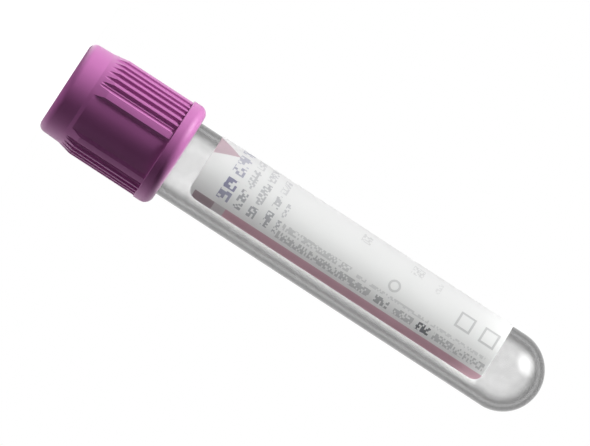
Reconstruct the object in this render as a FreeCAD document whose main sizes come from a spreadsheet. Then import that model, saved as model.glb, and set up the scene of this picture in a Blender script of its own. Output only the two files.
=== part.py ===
# Blood collection tube, 13 x 75 mm: a round-bottomed clear tube, its wrap-round label, and a
# two-piece closure, which is a ribbed plastic shield over a rubber stopper. The tube stands upside
# down on the closure's flat top. The origin is the centre of that face, +Z runs along the tube to
# its closed round end, and -Y is the side that the label's edge and a smooth panel face.
import FreeCAD, Part
import math
import os
import re

import Sketcher

# Millimetres and degrees. A name ending in turn is an angle about +Z from +X.
SIZES = {
    # clear tube
    "tube_length": 75.0,
    "tube_radius": 6.35,
    "tube_wall": 1.0,
    "rim_round": 0.3,
    # closure shield, outside
    "closure_length": 20.5,
    "shield_wall": 1.32,
    "rib_height": 0.4,
    "crown_length": 3.8,
    "crown_draft": 0.17,
    "brow_length": 2.4,
    "brow_rise": 0.55,
    "top_edge_round": 1.2,
    "flange_step": 0.16,
    "flange_length": 2.7,
    "flange_edge_round": 1.5,
    "ledge_edge_round": 0.1,
    "most_of_wall": 0.95,
    # fields of grooves, and the smooth panels between them
    "rib_fields": 3,
    "rib_field_turn": -135.2,
    "panel_angle": 45.4,
    "panel_flank_angle": 50.0,
    "grooves_in_field": 6,
    "groove_pitch_angle": 8.1,
    "edge_groove_angle": 47.4,
    "groove_depth": 0.42,
    "groove_floor_round": 0.3,
    "groove_shoulder_round": 0.25,
    "cutter_reach": 4.0,
    # closure shield, inside
    "mouth_gap": 0.75,
    "mouth_flare": 0.3,
    "collar_thickness": 1.4,
    "collar_bore_radius": 3.65,
    "skirt_clearance": 0.35,
    "skirt_lead_in": 0.2,
    # rubber stopper
    "head_sink": 2.2,
    "head_length": 2.8,
    "head_radius": 4.75,
    "head_edge_round": 0.5,
    "well_radius": 2.6,
    "well_depth": 3.6,
    "well_floor_round": 0.6,
    "well_mouth_round": 0.3,
    "neck_clearance": 0.05,
    "seat_length": 4.08,
    "seat_clearance": 0.15,
    "seat_edge_round": 0.25,
    "rim_gap": 0.02,
    "plug_length": 8.0,
    "plug_clearance": 0.03,
    "nose_length": 1.0,
    "nose_depth": 0.35,
    "membrane_thickness": 4.0,
    "plug_wall": 1.92,
    "recess_floor_round": 1.2,
    # wrap-round label
    "label_gap": 3.8,
    "label_dome_gap": 2.35,
    "label_thickness": 0.14,
    "label_glue": 0.02,
    "label_open_angle": 75.0,
    "label_open_turn": -16.3,
    "label_corner_round": 1.75,
    "label_blank_margin": 0.5,
}

# Edges are found by their size and place, to this many millimetres.
SAME_PLACE = 1e-4

# Heights above the closure's top face, then radii, as expressions on the names above. Each is
# read by more than one outline.
collar_low = "(head_sink + head_length)"
collar_high = f"({collar_low} + collar_thickness)"
seat_high = f"({collar_high} + seat_length)"
rim_height = f"({seat_high} + rim_gap)"
flange_low = "(closure_length - flange_length)"
dome_height = f"({rim_height} + tube_length - tube_radius)"
label_low = "(closure_length + label_gap)"
label_high = f"({dome_height} - label_dome_gap)"
bore_radius = "(tube_radius - tube_wall)"
skirt_bore_radius = "(tube_radius + skirt_clearance)"
panel_radius = f"({skirt_bore_radius} + shield_wall)"
crest_radius = f"({panel_radius} + rib_height)"

doc = FreeCAD.newDocument("blood_collection_tube")
sheet = doc.addObject("Spreadsheet::Sheet", "sizes")
for row, (alias, number) in enumerate(SIZES.items(), start=1):
    sheet.set(f"A{row}", alias)
    sheet.set(f"B{row}", str(number))
    sheet.setAlias(f"B{row}", alias)
doc.recompute()


def point_at_cell(found):
    word = found.group()
    return f"sizes.{word}" if word in SIZES else word


def bound(text):
    """The expression with each size's name pointed at its cell of the sheet."""
    return re.sub(r"[a-z_]+", point_at_cell, text)


def reading(text):
    """The number that the expression gives now."""
    found = sheet.evalExpression(bound(text))
    return float(getattr(found, "Value", found))


def new_body(name):
    body = doc.addObject("PartDesign::Body", name)
    body.Label = name
    return body


def origin_feature(body, role):
    return next(feature for feature in body.Origin.OriginFeatures if feature.Role == role)


def hold(sketch, name, expression, kind, *where):
    """Adds a named constraint whose value follows the expression."""
    index = sketch.addConstraint(Sketcher.Constraint(kind, *where, reading(expression)))
    sketch.renameConstraint(index, name)
    sketch.setExpression(f"Constraints.{name}", bound(expression))


def draw(body, name, plane, corners, arcs=None, lift="0", turn="0"):
    """A closed outline through the corners, lifted along and turned about its plane's normal.

    An edge is numbered by the corner that it starts from, and arcs holds (centre x, centre y,
    radius) for each edge that is round.
    """
    arcs = arcs or {}
    sketch = body.newObject("Sketcher::SketchObject", name)
    sketch.AttachmentSupport = [(origin_feature(body, plane), "")]
    sketch.MapMode = "FlatFace"
    normal = FreeCAD.Vector(0, 0, 1)
    sketch.AttachmentOffset = FreeCAD.Placement(
        normal * reading(lift), FreeCAD.Rotation(normal, reading(turn))
    )
    sketch.setExpression("AttachmentOffset.Base.z", bound(lift))
    sketch.setExpression("AttachmentOffset.Rotation.Angle", bound(turn))

    points = [FreeCAD.Vector(reading(x), reading(y), 0) for x, y in corners]
    ends = []
    for edge, start in enumerate(points):
        stop = points[(edge + 1) % len(points)]
        if edge not in arcs:
            sketch.addGeometry(Part.LineSegment(start, stop), False)
            ends.append((1, 2))
            continue
        centre_x, centre_y, radius = (reading(value) for value in arcs[edge])
        first = math.atan2(start.y - centre_y, start.x - centre_x)
        last = math.atan2(stop.y - centre_y, stop.x - centre_x)
        circle = Part.Circle(FreeCAD.Vector(centre_x, centre_y, 0), normal, radius)
        if (last - first) % math.tau < math.pi:
            sketch.addGeometry(Part.ArcOfCircle(circle, first, last), False)
            ends.append((1, 2))
        else:
            sketch.addGeometry(Part.ArcOfCircle(circle, last, first), False)
            ends.append((2, 1))

    for edge, (x, y) in enumerate(corners):
        following = (edge + 1) % len(corners)
        first_end = ends[edge][0]
        sketch.addConstraint(
            Sketcher.Constraint("Coincident", edge, ends[edge][1], following, ends[following][0])
        )
        hold(sketch, f"x{edge}", x, "DistanceX", -1, 1, edge, first_end)
        hold(sketch, f"y{edge}", y, "DistanceY", -1, 1, edge, first_end)
        if edge in arcs:
            hold(sketch, f"radius{edge}", arcs[edge][2], "Radius", edge)
    doc.recompute()
    return sketch


def revolve(body, sketch):
    """Turns the outline fully about the tube's axis."""
    turned = body.newObject("PartDesign::Revolution", sketch.Name + "_turned")
    turned.Profile = sketch
    turned.ReferenceAxis = (origin_feature(body, "Z_Axis"), [""])
    turned.Angle = 360
    doc.recompute()


def check_removed(feature):
    if feature.Shape.Volume >= feature.BaseFeature.Shape.Volume:
        raise RuntimeError(f"{feature.Name} removes nothing")


def turn_away(body, sketch):
    """Takes the outline's full turn about the tube's axis off the body."""
    groove = body.newObject("PartDesign::Groove", sketch.Name + "_turned_away")
    groove.Profile = sketch
    groove.ReferenceAxis = (origin_feature(body, "Z_Axis"), [""])
    groove.Angle = 360
    doc.recompute()
    check_removed(groove)


def cut_down(body, sketch, depth):
    """Takes the outline's run from its own height downwards off the body."""
    pocket = body.newObject("PartDesign::Pocket", sketch.Name + "_cut")
    pocket.Profile = sketch
    pocket.setExpression("Length", bound(depth))
    doc.recompute()
    check_removed(pocket)
    return pocket


def step_round(body, name, count, spacing):
    """Steps about the tube's axis, for repeat_cut."""
    pattern = body.newObject("PartDesign::PolarPattern", name)
    pattern.Axis = (origin_feature(body, "Z_Axis"), [""])
    pattern.Mode = "Spacing"
    pattern.setExpression("Offset", bound(spacing))
    pattern.setExpression("Occurrences", bound(count))
    return pattern


def repeat_cut(body, name, pocket, steps):
    pattern = body.newObject("PartDesign::MultiTransform", name)
    pattern.Originals = [pocket]
    pattern.Transformations = steps
    body.Tip = pattern
    doc.recompute()


def fillet(body, name, radius, wanted):
    """Rounds those edges of the body's last feature that the test wants."""
    base = body.Tip
    edges = [f"Edge{number}" for number, edge in enumerate(base.Shape.Edges, start=1)
             if not edge.Degenerated and wanted(edge)]
    rounded = body.newObject("PartDesign::Fillet", name)
    rounded.Base = (base, edges)
    rounded.setExpression("Radius", bound(radius))
    doc.recompute()


def on_rim(radius, height):
    """The test for a circular edge of this radius, at this height, about the tube's axis."""
    radius_now, height_now = reading(radius), reading(height)

    def wanted(edge):
        if not isinstance(edge.Curve, Part.Circle):
            return False
        off_radius = abs(edge.Curve.Radius - radius_now)
        off_height = abs(edge.Curve.Center.z - height_now)
        return max(off_radius, off_height) < SAME_PLACE

    return wanted


def closure_shield():
    """Moulded shield: plain crown, brow up to the ribs, grooved fields and smooth panels, flange
    with a round edge, mouth and collar. Its round edges give way to the walls that they end."""
    body = new_body("closure_shield")
    flange_radius = f"({crest_radius} + flange_step)"
    crown_radius = f"({crest_radius} - brow_rise)"
    top_radius = f"({crown_radius} - crown_draft)"
    mouth_radius = "(head_radius + mouth_gap)"
    mouth_lip_radius = f"({mouth_radius} + mouth_flare)"
    skirt_lip_radius = f"({skirt_bore_radius} + skirt_lead_in)"
    section = draw(body, "shield_section", "XZ_Plane", [
        (mouth_lip_radius, "0"),
        (top_radius, "0"),
        (crown_radius, "crown_length"),
        (crest_radius, "crown_length + brow_length"),
        (crest_radius, flange_low),
        (flange_radius, flange_low),
        (flange_radius, "closure_length"),
        (skirt_lip_radius, "closure_length"),
        (skirt_bore_radius, "closure_length - skirt_lead_in"),
        (skirt_bore_radius, collar_high),
        ("collar_bore_radius", collar_high),
        ("collar_bore_radius", collar_low),
        (mouth_radius, collar_low),
        (mouth_radius, "mouth_flare"),
    ])
    revolve(body, section)
    top_wall = f"({top_radius} - {mouth_lip_radius})"
    flange_wall = f"({flange_radius} - {skirt_lip_radius})"
    fillet(body, "top_edge", f"min(top_edge_round; {top_wall} * most_of_wall)",
           on_rim(top_radius, "0"))
    fillet(body, "flange_edge", f"min(flange_edge_round; {flange_wall} * most_of_wall)",
           on_rim(flange_radius, "closure_length"))
    fillet(body, "ledge_edge", "ledge_edge_round", on_rim(flange_radius, flange_low))
    cut_panels(body)
    cut_grooves(body)
    return body


def cut_panels(body):
    """Smooth fields with sloping flanks, cut from the flange up, so that they run out on the
    brow."""
    half = "(panel_angle / 2)"
    lean = f"({half} + panel_flank_angle)"
    floor_x = f"{panel_radius} * cos({half})"
    floor_y = f"{panel_radius} * sin({half})"
    flank_x = f"{floor_x} + cutter_reach * cos({lean})"
    flank_y = f"{floor_y} + cutter_reach * sin({lean})"
    outline = draw(
        body, "panel", "XY_Plane",
        [(floor_x, f"-({floor_y})"), (floor_x, floor_y), (flank_x, flank_y),
         (flank_x, f"-({flank_y})")],
        arcs={0: ("0", "0", panel_radius)},
        lift=flange_low,
        turn="rib_field_turn + 180 / rib_fields",
    )
    pocket = cut_down(body, outline, flange_low)
    around = step_round(body, "panel_steps", "rib_fields", "360 / rib_fields")
    repeat_cut(body, "panels", pocket, [around])


def cut_grooves(body):
    """Evenly stepped grooves, and one more at each side of a field that widens its last groove,
    so that a narrow rib stands beside each panel."""
    groove_pattern(body, "groove", "grooves_in_field", "groove_pitch_angle")
    groove_pattern(body, "edge_groove", "2", "edge_groove_angle")


def groove_pattern(body, name, count, spacing):
    """Grooves with a round floor that blends into the round shoulders of the ribs beside it."""
    rounds = "(groove_floor_round + groove_shoulder_round)"
    rise = f"(groove_depth - {rounds})"
    half_width = f"sqrt({rounds}^2 - {rise}^2)"
    floor_centre = f"({crest_radius} - groove_depth + groove_floor_round)"
    shoulder_centre = f"({crest_radius} - groove_shoulder_round)"
    beyond = f"({crest_radius} + cutter_reach)"
    blend_x = f"{floor_centre} + {rise} * groove_floor_round / {rounds}"
    blend_y = f"{half_width} * groove_floor_round / {rounds}"
    outline = draw(
        body, name, "XY_Plane",
        [(crest_radius, f"-{half_width}"), (blend_x, f"-{blend_y}"), (blend_x, blend_y),
         (crest_radius, half_width), (beyond, half_width), (beyond, f"-{half_width}")],
        arcs={
            0: (shoulder_centre, f"-{half_width}", "groove_shoulder_round"),
            1: (floor_centre, "0", "groove_floor_round"),
            2: (shoulder_centre, half_width, "groove_shoulder_round"),
        },
        lift=flange_low,
        turn=f"rib_field_turn - {spacing} * ({count} - 1) / 2",
    )
    pocket = cut_down(body, outline, flange_low)
    across = step_round(body, f"{name}_steps", count, spacing)
    around = step_round(body, f"{name}_field_steps", "rib_fields", "360 / rib_fields")
    repeat_cut(body, f"{name}s", pocket, [across, around])


def stopper():
    """Rubber stopper: head with a needle well, neck in the collar, seat and hollow plug."""
    body = new_body("stopper")
    well_floor = "(head_sink + well_depth)"
    recess_floor = f"({well_floor} + membrane_thickness)"
    plug_end = f"({seat_high} + plug_length)"
    neck_radius = "(collar_bore_radius - neck_clearance)"
    seat_radius = f"({skirt_bore_radius} - seat_clearance)"
    plug_radius = f"({bore_radius} - plug_clearance)"
    recess_radius = f"({plug_radius} - plug_wall)"
    section = draw(body, "stopper_section", "XZ_Plane", [
        ("0", well_floor),
        ("well_radius", well_floor),
        ("well_radius", "head_sink"),
        ("head_radius", "head_sink"),
        ("head_radius", collar_low),
        (neck_radius, collar_low),
        (neck_radius, collar_high),
        (seat_radius, collar_high),
        (seat_radius, seat_high),
        (plug_radius, seat_high),
        (plug_radius, f"{plug_end} - nose_length"),
        (f"{plug_radius} - nose_depth", plug_end),
        (recess_radius, plug_end),
        (recess_radius, recess_floor),
        ("0", recess_floor),
    ])
    revolve(body, section)
    fillet(body, "well_floor_edge", "well_floor_round", on_rim("well_radius", well_floor))
    fillet(body, "well_mouth_edge", "well_mouth_round", on_rim("well_radius", "head_sink"))
    fillet(body, "head_edge", "head_edge_round", on_rim("head_radius", "head_sink"))
    fillet(body, "seat_edge", "seat_edge_round", on_rim(seat_radius, seat_high))
    fillet(body, "recess_edge", "recess_floor_round", on_rim(recess_radius, recess_floor))
    return body


def tube():
    """Clear moulded tube with an even wall and a half-round closed end."""
    body = new_body("tube")
    section = draw(
        body, "tube_section", "XZ_Plane",
        [(bore_radius, rim_height), ("tube_radius", rim_height), ("tube_radius", dome_height),
         ("0", f"{dome_height} + tube_radius"), ("0", f"{dome_height} + {bore_radius}"),
         (bore_radius, dome_height)],
        arcs={2: ("0", dome_height, "tube_radius"), 4: ("0", dome_height, bore_radius)},
    )
    revolve(body, section)
    fillet(body, "outer_rim", "rim_round", on_rim("tube_radius", rim_height))
    fillet(body, "inner_rim", "rim_round", on_rim(bore_radius, rim_height))
    return body


def label():
    """Label wrapped round the tube, open along one side, with rounded corners."""
    body = new_body("label")
    inner = "(tube_radius + label_glue)"
    outer = f"({inner} + label_thickness)"
    blank_inner = f"({inner} - label_blank_margin)"
    blank_outer = f"({outer} + label_blank_margin)"

    def band(name, low_radius, high_radius):
        return draw(body, name, "XZ_Plane", [
            (low_radius, label_low),
            (high_radius, label_low),
            (high_radius, label_high),
            (low_radius, label_high),
        ])

    revolve(body, band("label_blank", blank_inner, blank_outer))
    reach = "(tube_radius * 2)"
    spread = f"{reach} * tan(label_open_angle / 2)"
    opening = draw(
        body, "label_opening", "XY_Plane",
        [("0", "0"), (reach, f"-({spread})"), (reach, spread)],
        lift=label_high,
        turn="label_open_turn",
    )
    cut_down(body, opening, f"{label_high} - {label_low}")

    # The corners are rounded while the blank is thick, and then it is thinned from both sides.
    blank_thickness = reading(f"{blank_outer} - {blank_inner}")
    fillet(body, "label_corners", "label_corner_round",
           lambda edge: abs(edge.Length - blank_thickness) < SAME_PLACE)
    turn_away(body, band("label_inside", blank_inner, inner))
    turn_away(body, band("label_outside", outer, blank_outer))
    return body


def faults(bodies):
    """Every object that failed to compute, and every body without one valid solid."""
    found = [f"{item.Name}: {item.State}" for item in doc.Objects
             if "Invalid" in item.State or "Error" in item.State]
    for body in bodies:
        shape = body.Shape
        if shape.isNull() or not shape.isValid() or len(shape.Solids) != 1:
            found.append(f"{body.Label}: not one valid solid")
    return found


bodies = [closure_shield(), stopper(), tube(), label()]
doc.recompute()
wrong = faults(bodies)
if wrong:
    raise SystemExit("\n".join(wrong))

os.makedirs("parts", exist_ok=True)
for body in bodies:
    body.Shape.exportStep(f"parts/{body.Label}.step")
    low, high = body.Shape.BoundBox.ZMin, body.Shape.BoundBox.ZMax
    print(f"{body.Label}: {body.Shape.Volume:.2f} mm3, z {low:.2f} to {high:.2f}")
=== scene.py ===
# A blood collection tube standing on its closure: the pieces' finish, the studio light and the camera.
import bpy
import math
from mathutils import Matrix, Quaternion, Vector


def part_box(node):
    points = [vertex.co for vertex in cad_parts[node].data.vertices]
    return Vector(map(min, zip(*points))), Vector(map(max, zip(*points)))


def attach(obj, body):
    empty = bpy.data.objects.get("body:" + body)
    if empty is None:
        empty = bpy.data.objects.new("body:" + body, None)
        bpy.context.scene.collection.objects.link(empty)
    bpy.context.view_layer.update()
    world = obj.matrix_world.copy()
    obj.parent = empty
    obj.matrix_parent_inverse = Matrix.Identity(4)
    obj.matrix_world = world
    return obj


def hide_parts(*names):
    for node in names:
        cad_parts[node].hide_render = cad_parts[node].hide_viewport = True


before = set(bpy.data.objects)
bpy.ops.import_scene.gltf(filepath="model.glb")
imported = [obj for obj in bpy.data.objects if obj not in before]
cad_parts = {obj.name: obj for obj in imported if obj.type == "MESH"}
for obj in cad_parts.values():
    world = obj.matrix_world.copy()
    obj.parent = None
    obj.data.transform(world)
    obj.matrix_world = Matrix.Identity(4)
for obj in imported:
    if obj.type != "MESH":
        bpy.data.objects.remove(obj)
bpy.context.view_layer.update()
print("frame loaded:", ", ".join(sorted(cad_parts)))

mm = 0.001
grainRise = 0.01 * mm  # how far the fine grain of a moulded or paper surface stands out


def linear(hexText):  # an sRGB hex value as the linear colour that nodes take
    channels = []
    for start in (0, 2, 4):
        value = int(hexText[start:start + 2], 16) / 255
        channels.append(value / 12.92 if value <= 0.04045 else ((value + 0.055) / 1.055) ** 2.4)
    return (*channels, 1.0)


def addNode(tree, kind, settings=None, inputs=None):  # an input is a socket to link or a plain value
    node = tree.nodes.new("ShaderNode" + kind)
    for name, value in (settings or {}).items():
        setattr(node, name, value)
    for name, value in (inputs or {}).items():
        if isinstance(value, bpy.types.NodeSocket):
            tree.links.new(value, node.inputs[name])
        else:
            node.inputs[name].default_value = value
    return node


def newMaterial(name):
    material = bpy.data.materials.new(name)
    material.use_nodes = True
    material.node_tree.nodes.clear()
    return material, material.node_tree


def setMaterial(piece, material):
    piece.data.materials.clear()
    piece.data.materials.append(material)


cameraSet = {
    "distance": 2400 * mm,
    "height": 0.2 * mm,  # level with the face that the closure stands on
    "aim": (-1.42 * mm, 0, 40.6 * mm),
    "roll": 123.1,  # turns the tube to lie down to the right
    "lens": 967,
    "clip": (10 * mm, 20),
}


def makeCamera(values):
    place = Vector((values["aim"][0], -values["distance"], values["height"]))
    look = (Vector(values["aim"]) - place).to_track_quat("-Z", "Y")
    data = bpy.data.cameras.new("camera")
    data.lens = values["lens"]
    camera = bpy.data.objects.new("camera", data)
    bpy.context.scene.collection.objects.link(camera)
    camera.location = place
    camera.rotation_mode = "QUATERNION"
    camera.rotation_quaternion = look @ Quaternion((0, 0, 1), math.radians(values["roll"]))
    data.clip_start, data.clip_end = values["clip"]
    bpy.context.scene.camera = camera


lampSet = {  # light is what each lamp adds to a white card that faces it
    "key": {"from": (-0.82, -0.13, 0.55), "spread": 26, "light": 1.85, "gloss": True},
    "back": {"from": (0.79, 0.59, 0.17), "spread": 40, "light": 0.72, "gloss": False},
    "under": {"from": (-0.06, -0.12, -0.99), "spread": 50, "light": 0.56, "gloss": False},
}


def makeLamps(lamps):
    for name, values in lamps.items():
        data = bpy.data.lights.new(name, "SUN")
        data.angle = math.radians(values["spread"])
        data.energy = math.pi * values["light"]
        lamp = bpy.data.objects.new(name, data)
        bpy.context.scene.collection.objects.link(lamp)
        lamp.rotation_mode = "QUATERNION"
        lamp.rotation_quaternion = Vector(values["from"]).to_track_quat("Z", "Y")
        lamp.visible_camera = False
        lamp.visible_transmission = False
        lamp.visible_glossy = values["gloss"]


studioSet = {
    "backdrop": "ffffff",
    "front": 0.01,  # light from the camera's side of the room
    "frontGloss": 0.0,  # share of the backdrop's white that gloss mirrors from the camera's side
    "behind": 0.02,  # light that the backdrop sends back
    "roomFade": (-0.4, 0.8),  # where the room changes from front to behind
    "mirrorFade": (-0.7, 0.1),  # where gloss begins to mirror the backdrop
    "window": (-0.69, -0.29, 0.66),  # where gloss mirrors a soft bright window
    "windowWidth": 69,
    "windowLight": 5.5,
    "floor": "d9d9d9",
    "floorGlow": 0.45,  # plain white added to the floor as it is seen
    "floorBounce": "101010",  # what the floor sends back to the tube, less than it shows
    "floorSize": 6,
    "floorDrop": 0.02 * mm,  # keeps the floor clear of the face that stands on it
}


def seenRays(tree, glossyShare=1.0):  # rays that see the white: straight, mirrored or through the tube
    path = addNode(tree, "LightPath")
    both = addNode(tree, "Math", {"operation": "MAXIMUM"},
                   {0: path.outputs["Is Camera Ray"], 1: path.outputs["Is Transmission Ray"]})
    mirrored = addNode(tree, "Math", {"operation": "MULTIPLY"},
                       {0: path.outputs["Is Glossy Ray"], 1: glossyShare})
    return addNode(tree, "Math", {"operation": "MAXIMUM"},
                   {0: both.outputs[0], 1: mirrored.outputs[0]}).outputs[0]


def makeWorld(values):
    world = bpy.data.worlds.new("studio")
    bpy.context.scene.world = world
    world.use_nodes = True
    tree = world.node_tree
    tree.nodes.clear()
    place = addNode(tree, "TexCoord")
    depth = addNode(tree, "SeparateXYZ", None, {0: place.outputs["Generated"]})
    level = addNode(tree, "MapRange", {"interpolation_type": "SMOOTHSTEP"},
                    {"Value": depth.outputs["Y"],
                     "From Min": values["roomFade"][0], "From Max": values["roomFade"][1],
                     "To Min": values["front"], "To Max": values["behind"]})
    room = addNode(tree, "Background", None, {"Strength": level.outputs[0]})
    toWindow = addNode(tree, "VectorMath", {"operation": "DOT_PRODUCT"},
                       {0: place.outputs["Generated"], 1: Vector(values["window"]).normalized()})
    window = addNode(tree, "MapRange", {"interpolation_type": "SMOOTHSTEP"},
                     {"Value": toWindow.outputs["Value"],
                      "From Min": math.cos(math.radians(values["windowWidth"] / 2)), "From Max": 1.0,
                      "To Min": 0.0, "To Max": values["windowLight"]})
    mirror = addNode(tree, "LightPath")
    strength = addNode(tree, "Math", {"operation": "MULTIPLY_ADD"},
                       {0: window.outputs[0], 1: mirror.outputs["Is Glossy Ray"], 2: 1.0})
    white = addNode(tree, "Background", None,
                    {"Color": linear(values["backdrop"]), "Strength": strength.outputs[0]})
    mirrored = addNode(tree, "MapRange", {"interpolation_type": "SMOOTHSTEP"},
                       {"Value": depth.outputs["Y"],
                        "From Min": values["mirrorFade"][0], "From Max": values["mirrorFade"][1],
                        "To Min": values["frontGloss"], "To Max": 1.0})
    share = addNode(tree, "Math", {"operation": "MAXIMUM", "use_clamp": True},
                    {0: mirrored.outputs[0], 1: window.outputs[0]})
    seen = seenRays(tree, share.outputs[0])
    both = addNode(tree, "MixShader", None, {0: seen, 1: room.outputs[0], 2: white.outputs[0]})
    addNode(tree, "OutputWorld", None, {"Surface": both.outputs[0]})


def makeFloor(values):
    bpy.ops.object.select_all(action="DESELECT")
    bpy.ops.mesh.primitive_plane_add(size=values["floorSize"], location=(0, 0, -values["floorDrop"]))
    floor = bpy.context.object
    floor.name = "floor"
    floor.visible_shadow = False  # lets the lamp under the table reach the closure's top edge
    material, tree = newMaterial("matteWhiteSweep")
    pale = addNode(tree, "BsdfDiffuse", None, {"Color": linear(values["floor"])})
    white = addNode(tree, "Emission", None,
                    {"Color": linear(values["backdrop"]), "Strength": values["floorGlow"]})
    seen = addNode(tree, "AddShader", None, {0: pale.outputs[0], 1: white.outputs[0]})
    bounce = addNode(tree, "BsdfDiffuse", None, {"Color": linear(values["floorBounce"])})
    both = addNode(tree, "MixShader", None, {0: seenRays(tree), 1: bounce.outputs[0], 2: seen.outputs[0]})
    addNode(tree, "OutputMaterial", None, {"Surface": both.outputs[0]})
    setMaterial(floor, material)


makeCamera(cameraSet)
makeLamps(lampSet)
makeWorld(studioSet)
makeFloor(studioSet)
bpy.context.scene.view_settings.view_transform = "Standard"
print("camera, lamps, backdrop and floor set")


shieldSet = {
    "colour": "b05c9f",
    "roughness": 0.52,
    "ior": 1.5,
    "specular": 0.36,
    "sheen": 0.53,
    "sheenRoughness": 0.5,
    "sheenTint": "ffffff",
    "mottle": 0.07,
    "mottleSize": 3 * mm,
    "grain": 0.12 * mm,
    "grainDepth": 0.15,
}


def mouldedPolypropylene(values):  # matte and a little waxy: the colour pales where it is seen aslant
    material, tree = newMaterial("mouldedPolypropylene")
    place = addNode(tree, "TexCoord")
    mottle = addNode(tree, "TexNoise", None,
                     {"Vector": place.outputs["Object"], "Scale": 1 / values["mottleSize"], "Detail": 2.0})
    level = addNode(tree, "MapRange", None,
                    {"Value": mottle.outputs[0],
                     "To Min": 1 - values["mottle"], "To Max": 1 + values["mottle"]})
    tint = addNode(tree, "HueSaturation", None,
                   {"Color": linear(values["colour"]), "Value": level.outputs[0]})
    grain = addNode(tree, "TexNoise", None,
                    {"Vector": place.outputs["Object"], "Scale": 1 / values["grain"], "Detail": 1.0})
    bump = addNode(tree, "Bump", None,
                   {"Height": grain.outputs[0], "Strength": values["grainDepth"], "Distance": grainRise})
    skin = addNode(tree, "BsdfPrincipled", None,
                   {"Base Color": tint.outputs[0], "Roughness": values["roughness"], "IOR": values["ior"],
                    "Specular IOR Level": values["specular"], "Sheen Weight": values["sheen"],
                    "Sheen Roughness": values["sheenRoughness"],
                    "Sheen Tint": linear(values["sheenTint"]), "Normal": bump.outputs[0]})
    addNode(tree, "OutputMaterial", None, {"Surface": skin.outputs[0]})
    return material


setMaterial(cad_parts["closure_shield"], mouldedPolypropylene(shieldSet))
print("closure shield finished")


stopperSet = {
    "colour": "6b6b70",
    "roughness": 0.6,
    "ior": 1.52,
    "bloom": 0.1,
    "bloomSize": 1.5 * mm,
    "grain": 0.1 * mm,
    "grainDepth": 0.3,
}


def mouldedRubber(values):  # dull grey with a fine grain, so the well reads as rubber beside the plastic
    material, tree = newMaterial("mouldedRubber")
    place = addNode(tree, "TexCoord")
    bloom = addNode(tree, "TexNoise", None,
                    {"Vector": place.outputs["Object"], "Scale": 1 / values["bloomSize"], "Detail": 3.0})
    level = addNode(tree, "MapRange", None,
                    {"Value": bloom.outputs[0], "To Min": 1 - values["bloom"], "To Max": 1 + values["bloom"]})
    tint = addNode(tree, "HueSaturation", None,
                   {"Color": linear(values["colour"]), "Value": level.outputs[0]})
    grain = addNode(tree, "TexNoise", None,
                    {"Vector": place.outputs["Object"], "Scale": 1 / values["grain"], "Detail": 2.0})
    bump = addNode(tree, "Bump", None,
                   {"Height": grain.outputs[0], "Strength": values["grainDepth"], "Distance": grainRise})
    skin = addNode(tree, "BsdfPrincipled", None,
                   {"Base Color": tint.outputs[0], "Roughness": values["roughness"], "IOR": values["ior"],
                    "Normal": bump.outputs[0]})
    addNode(tree, "OutputMaterial", None, {"Surface": skin.outputs[0]})
    return material


setMaterial(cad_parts["stopper"], mouldedRubber(stopperSet))
print("stopper finished")


tubeSet = {
    "wall": 1.0 * mm,
    "segments": 192,
    "domeRings": 48,
    "rimRound": 0.3 * mm,
    "rimSteps": 4,
    "rimAngle": 50,  # only corners sharper than this are rounded
    "smoothAngle": 40,
    "holdGap": 0.3 * mm,
    "tint": "fbfcfb",
    "roughness": 0.15,
    "ior": 1.57,
    "filmSize": 1.4 * mm,
    "film": 0.05,  # mottling from the additive dried on the wall
    "filmRange": (0.3, 0.7),
    "flowSize": 3 * mm,
    "flow": 0.05 * mm,  # waves that moulding leaves in the wall
    # painted edge shade: the share of light the wall's colour lets pass, from face on to edge on, darker
    # toward the rims
    "paintedEdgeShade": {0.0: 0.85, 0.10: 0.89, 0.15: 0.84, 0.22: 0.76,
                  0.30: 0.74, 0.42: 0.30, 0.58: 0.04, 0.85: 0.04},
}


def makeTube(values):
    low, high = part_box("tube")
    radius = high.x
    equator = high.z - radius
    bpy.ops.object.select_all(action="DESELECT")
    bpy.ops.mesh.primitive_uv_sphere_add(segments=values["segments"], ring_count=2 * values["domeRings"],
                                         radius=radius, location=(0, 0, equator))
    tube = bpy.context.object
    tube.name = "clear_tube"
    bpy.ops.object.mode_set(mode="EDIT")
    bpy.ops.mesh.select_all(action="SELECT")
    bpy.ops.mesh.bisect(plane_co=(0, 0, equator), plane_no=(0, 0, 1), clear_inner=True)
    bpy.ops.mesh.select_all(action="DESELECT")
    bpy.ops.mesh.select_non_manifold()
    bpy.ops.mesh.extrude_region_move(TRANSFORM_OT_translate={"value": (0, 0, low.z - equator)})
    bpy.ops.mesh.select_all(action="SELECT")
    bpy.ops.mesh.remove_doubles(threshold=0.001 * mm)
    bpy.ops.mesh.normals_make_consistent(inside=False)
    bpy.ops.object.mode_set(mode="OBJECT")
    bpy.ops.object.transform_apply(location=True, rotation=True, scale=True)
    shell = tube.modifiers.new("wall", "SOLIDIFY")
    shell.thickness = values["wall"]
    shell.offset = -1
    bpy.ops.object.modifier_apply(modifier=shell.name)
    rim = tube.modifiers.new("rimRound", "BEVEL")
    rim.width = values["rimRound"]
    rim.segments = values["rimSteps"]
    rim.limit_method = "ANGLE"
    rim.angle_limit = math.radians(values["rimAngle"])
    bpy.ops.object.modifier_apply(modifier=rim.name)
    # loops beside the rim and the dome hold the straight wall's shading level
    bpy.ops.object.mode_set(mode="EDIT")
    for height in (low.z + 2 * values["rimRound"], equator - values["holdGap"]):
        bpy.ops.mesh.select_all(action="SELECT")
        bpy.ops.mesh.bisect(plane_co=(0, 0, height), plane_no=(0, 0, 1))
    bpy.ops.object.mode_set(mode="OBJECT")
    bpy.ops.object.shade_smooth_by_angle(angle=math.radians(values["smoothAngle"]))
    return tube


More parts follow.
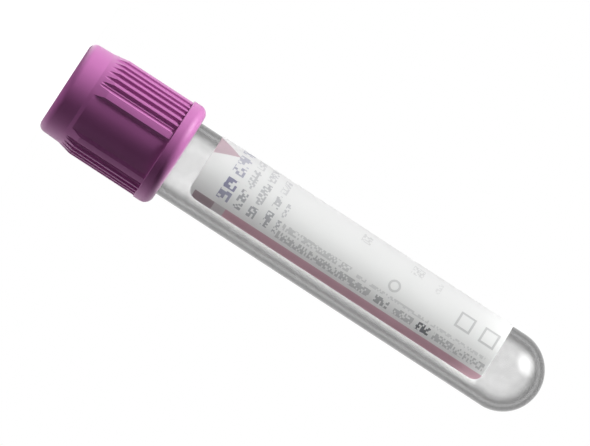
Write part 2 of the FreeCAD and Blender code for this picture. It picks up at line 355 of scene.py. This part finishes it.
def dimLamp(lampName, piece):  # the lamp's small disc isn't mirrored by the piece, the soft window is
    left = bpy.data.collections.new(lampName + "LeavesOut")
    left.objects.link(piece)
    bpy.data.objects[lampName].light_linking.receiver_collection = left
    left.collection_objects[0].light_linking.link_state = "EXCLUDE"


def clearPolyester(values):  # clear and glossy, with painted shade that darkens it where it is seen aslant through the wall
    material, tree = newMaterial("clearPolyester")
    path = addNode(tree, "LightPath")
    aslant = addNode(tree, "LayerWeight", None, {"Blend": 0.5})
    # painted shade: the ramp darkens the wall's colour as it turns edge on
    edge = addNode(tree, "ValToRGB", None, {"Fac": aslant.outputs["Facing"]})
    ramp = edge.color_ramp
    while len(ramp.elements) < len(values["paintedEdgeShade"]):
        ramp.elements.new(1.0)
    for stop, (place, shade) in zip(ramp.elements, values["paintedEdgeShade"].items()):
        stop.position, stop.color = place, (shade, shade, shade, 1)
    place = addNode(tree, "TexCoord")
    film = addNode(tree, "TexNoise", None,
                   {"Vector": place.outputs["Object"], "Scale": 1 / values["filmSize"], "Detail": 3.0})
    level = addNode(tree, "MapRange", None,
                    {"Value": film.outputs[0],
                     "From Min": values["filmRange"][0], "From Max": values["filmRange"][1],
                     "To Min": 1 - values["film"], "To Max": 1 + values["film"]})
    filmAndPaintedShade = addNode(tree, "HueSaturation", None, {"Color": edge.outputs[0], "Value": level.outputs[0]})
    # the painted edge shade holds only on rays that haven't bounced off a diffuse surface
    paintedShadeRays = addNode(tree, "Math", {"operation": "LESS_THAN"}, {0: path.outputs["Diffuse Depth"], 1: 0.5})
    tint = addNode(tree, "Mix", {"data_type": "RGBA"},
                   {"Factor": paintedShadeRays.outputs[0], "A": linear(values["tint"]), "B": filmAndPaintedShade.outputs[0]})
    flow = addNode(tree, "TexNoise", None,
                   {"Vector": place.outputs["Object"], "Scale": 1 / values["flowSize"], "Detail": 1.0})
    bump = addNode(tree, "Bump", None,
                   {"Height": flow.outputs[0], "Strength": 0.5, "Distance": values["flow"]})
    skin = addNode(tree, "BsdfPrincipled", None,
                   {"Base Color": tint.outputs["Result"], "Roughness": values["roughness"],
                    "IOR": values["ior"], "Transmission Weight": 1.0, "Normal": bump.outputs[0]})
    through = addNode(tree, "BsdfTransparent", None, {"Color": linear(values["tint"])})
    both = addNode(tree, "MixShader", None,
                   {0: path.outputs["Is Shadow Ray"], 1: skin.outputs[0], 2: through.outputs[0]})
    addNode(tree, "OutputMaterial", None, {"Surface": both.outputs[0]})
    return material


tube = makeTube(tubeSet)
setMaterial(tube, clearPolyester(tubeSet))
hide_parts("tube")
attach(tube, "sample_tube")
dimLamp("key", tube)
print("tube made,", len(tube.data.polygons), "faces")


labelSet = {
    "paper": "f9f9f9",
    "roughness": 0.45,
    "specular": 0.2,
    "through": 0.78,  # share of the light that comes out on the paper's other side
    "openTurn": -16.3,
    "openAngle": 75,
    "fibre": 0.05,
    "fibreSize": 0.3 * mm,
    "inkDepth": 0.07 * mm,  # only the paper's outer face takes ink, not its back
    "inked": 0.58,  # share of the small cells in a row of strokes that hold ink
    # each layer of print has its ink and its blocks: left, top, right, bottom and depth of ink,
    # in mm round from the label's front edge and along from its end by the closure
    "print": [
        {"ink": "c4b4ba", "blocks": [(0.05, 0.8, 1.5, 4.3, 1.0), (0.05, 4.3, 1.5, 6.3, 0.45)]},
        {"ink": "e1bfca", "blocks": [(0.05, 6.3, 1.5, 52.5, 1.0)]},
        {"ink": "ddcbd2", "shape": "diamond", "blocks": [(8.0, -4.0, 12.4, 4.0, 1.0)]},
        {"ink": "656195", "strokes": (0.38, 0.5), "blocks": [
            (2.45, 3.9, 4.0, 5.9, 0.6), (4.35, 3.9, 6.1, 5.9, 0.7), (7.0, 3.9, 8.5, 5.9, 0.5),
            (8.9, 3.9, 11.2, 5.9, 0.35), (12.0, 3.9, 15.6, 5.9, 0.4)]},
        {"ink": "6a6a7a", "strokes": (0.24, 0.34), "blocks": [
            (2.45, 6.8, 5.6, 8.1, 0.5), (6.2, 6.8, 9.8, 8.1, 0.3), (10.4, 6.8, 14, 8.1, 0.2),
            (2.45, 9.2, 4.2, 10.5, 0.5), (4.8, 9.2, 8.6, 10.5, 0.35), (9.2, 9.2, 13, 10.5, 0.25),
            (2.45, 11.8, 5.0, 12.9, 0.5), (5.6, 11.8, 8.0, 12.9, 0.35), (8.6, 11.8, 12, 12.9, 0.2),
            (2.45, 13.8, 4.6, 14.5, 0.4), (5.2, 13.8, 7.6, 14.5, 0.3)]},
        {"ink": "68686f", "strokes": (0.3, 0.24), "blocks": [
            (2.05, 14.7, 3.25, 31.4, 0.34), (2.05, 32.4, 3.25, 34.8, 0.5), (2.05, 35.8, 3.25, 39.2, 0.34),
            (2.05, 39.9, 3.35, 42.2, 0.85), (2.05, 42.9, 3.25, 52, 0.34), (3.6, 14.7, 4.6, 27.2, 0.25),
            (3.7, 28.3, 4.2, 51.5, 0.2)]},
        {"ink": "8a8a8e", "line": 0.35, "shape": "ring", "blocks": [(4.8, 33.0, 6.8, 35.0, 0.32)]},
        {"ink": "8a8a8e", "line": 0.35, "blocks": [
            (5.7, 44.7, 8.5, 47.4, 0.38), (5.7, 49.0, 8.5, 51.7, 0.38)]},
        {"ink": "8a8a8e", "strokes": (0.24, 0.3), "blocks": [
            (9.4, 26.0, 11.4, 27.6, 0.2), (9.4, 35.0, 11.6, 37.0, 0.2), (8.6, 39.6, 11.2, 40.4, 0.15)]},
        # ruled lines to write on, on the far side
        {"ink": "77777d", "blocks": [
            (17.4, 5, 17.55, 50, 0.6), (21.9, 5, 22.05, 50, 0.6), (26.4, 5, 26.55, 50, 0.6)]},
        {"ink": "77777d", "strokes": (0.24, 0.3), "blocks": [
            (16.2, 5, 17.1, 9.5, 0.6), (20.7, 5, 21.6, 11, 0.6), (25.2, 5, 26.1, 8.5, 0.6)]},
    ],
}


def blockMask(tree, spot, layer, block):
    left, top, right, bottom, depth = block
    half = ((right - left) / 2, (bottom - top) / 2, 0)
    away = addNode(tree, "VectorMath", {"operation": "SUBTRACT"},
                   {0: spot, 1: (left + half[0], top + half[1], 0)}).outputs[0]
    away = addNode(tree, "VectorMath", {"operation": "ABSOLUTE"}, {0: away}).outputs[0]
    shape = layer.get("shape", "block")
    if shape == "ring":
        reach = addNode(tree, "VectorMath", {"operation": "LENGTH"}, {0: away}).outputs["Value"]
        outside = addNode(tree, "Math", {"operation": "SUBTRACT"}, {0: reach, 1: half[0]}).outputs[0]
    elif shape == "diamond":
        reach = addNode(tree, "VectorMath", {"operation": "DOT_PRODUCT"},
                        {0: away, 1: (1 / half[0], 1 / half[1], 0)}).outputs["Value"]
        outside = addNode(tree, "Math", {"operation": "SUBTRACT"}, {0: reach, 1: 1.0}).outputs[0]
    else:
        over = addNode(tree, "VectorMath", {"operation": "SUBTRACT"}, {0: away, 1: half})
        over = addNode(tree, "SeparateXYZ", None, {0: over.outputs[0]})
        outside = addNode(tree, "Math", {"operation": "MAXIMUM"},
                          {0: over.outputs[0], 1: over.outputs[1]}).outputs[0]
    if "line" in layer:
        inked = addNode(tree, "Math", {"operation": "COMPARE"},
                        {0: outside, 1: -layer["line"] / 2, 2: layer["line"] / 2})
    else:
        inked = addNode(tree, "Math", {"operation": "LESS_THAN"}, {0: outside, 1: 0.0})
    return addNode(tree, "Math", {"operation": "MULTIPLY"}, {0: inked.outputs[0], 1: depth}).outputs[0]


def printedPaper(values):  # coated white paper: lit through from behind, with ink on its outer face only
    material, tree = newMaterial("printedPaper")
    low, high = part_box("label")
    radius = max(-low.x, high.y)
    place = addNode(tree, "TexCoord").outputs["Object"]
    turn = math.radians(180 + values["openTurn"])
    turned = addNode(tree, "Mapping", None, {"Vector": place, "Rotation": (0, 0, -turn)})
    part = addNode(tree, "SeparateXYZ", None, {0: turned.outputs[0]})
    angle = addNode(tree, "Math", {"operation": "ARCTAN2"}, {0: part.outputs["Y"], 1: part.outputs["X"]})
    start = math.pi - math.radians(values["openAngle"] / 2)
    around = addNode(tree, "Math", {"operation": "MULTIPLY_ADD"},
                     {0: angle.outputs[0], 1: -radius / mm, 2: start * radius / mm})
    along = addNode(tree, "Math", {"operation": "MULTIPLY_ADD"},
                    {0: part.outputs["Z"], 1: 1 / mm, 2: -low.z / mm})
    spot = addNode(tree, "CombineXYZ", None, {0: around.outputs[0], 1: along.outputs[0]}).outputs[0]
    flat = addNode(tree, "VectorMath", {"operation": "MULTIPLY"}, {0: place, 1: (1, 1, 0)})
    reach = addNode(tree, "VectorMath", {"operation": "LENGTH"}, {0: flat.outputs[0]})
    outside = addNode(tree, "Math", {"operation": "GREATER_THAN"},
                      {0: reach.outputs["Value"], 1: radius - values["inkDepth"]})

    colour = linear(values["paper"])
    for layer in values["print"]:
        depth = outside.outputs[0]
        mask = 0.0
        for block in layer["blocks"]:
            mask = addNode(tree, "Math", {"operation": "MAXIMUM"},
                           {0: blockMask(tree, spot, layer, block), 1: mask}).outputs[0]
        depth = addNode(tree, "Math", {"operation": "MULTIPLY"}, {0: depth, 1: mask}).outputs[0]
        if "strokes" in layer:
            cell = addNode(tree, "VectorMath", {"operation": "SNAP"}, {0: spot, 1: (*layer["strokes"], 1)})
            noise = addNode(tree, "TexWhiteNoise", {"noise_dimensions": "2D"}, {"Vector": cell.outputs[0]})
            stroke = addNode(tree, "Math", {"operation": "GREATER_THAN"},
                             {0: noise.outputs["Value"], 1: 1 - values["inked"]})
            depth = addNode(tree, "Math", {"operation": "MULTIPLY"},
                            {0: depth, 1: stroke.outputs[0]}).outputs[0]
        colour = addNode(tree, "Mix", {"data_type": "RGBA"},
                         {"Factor": depth, "A": colour, "B": linear(layer["ink"])}).outputs["Result"]

    fibres = addNode(tree, "TexNoise", None,
                     {"Vector": place, "Scale": 1 / values["fibreSize"], "Detail": 3.0})
    bump = addNode(tree, "Bump", None,
                   {"Height": fibres.outputs[0], "Strength": values["fibre"], "Distance": grainRise})
    face = addNode(tree, "BsdfPrincipled", None,
                   {"Base Color": colour, "Roughness": values["roughness"],
                    "Specular IOR Level": values["specular"], "Normal": bump.outputs[0]})
    glow = addNode(tree, "BsdfTranslucent", None, {"Color": colour})
    both = addNode(tree, "MixShader", None, {0: values["through"], 1: face.outputs[0], 2: glow.outputs[0]})
    addNode(tree, "OutputMaterial", None, {"Surface": both.outputs[0]})
    return material


setMaterial(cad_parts["label"], printedPaper(labelSet))
print("label finished")
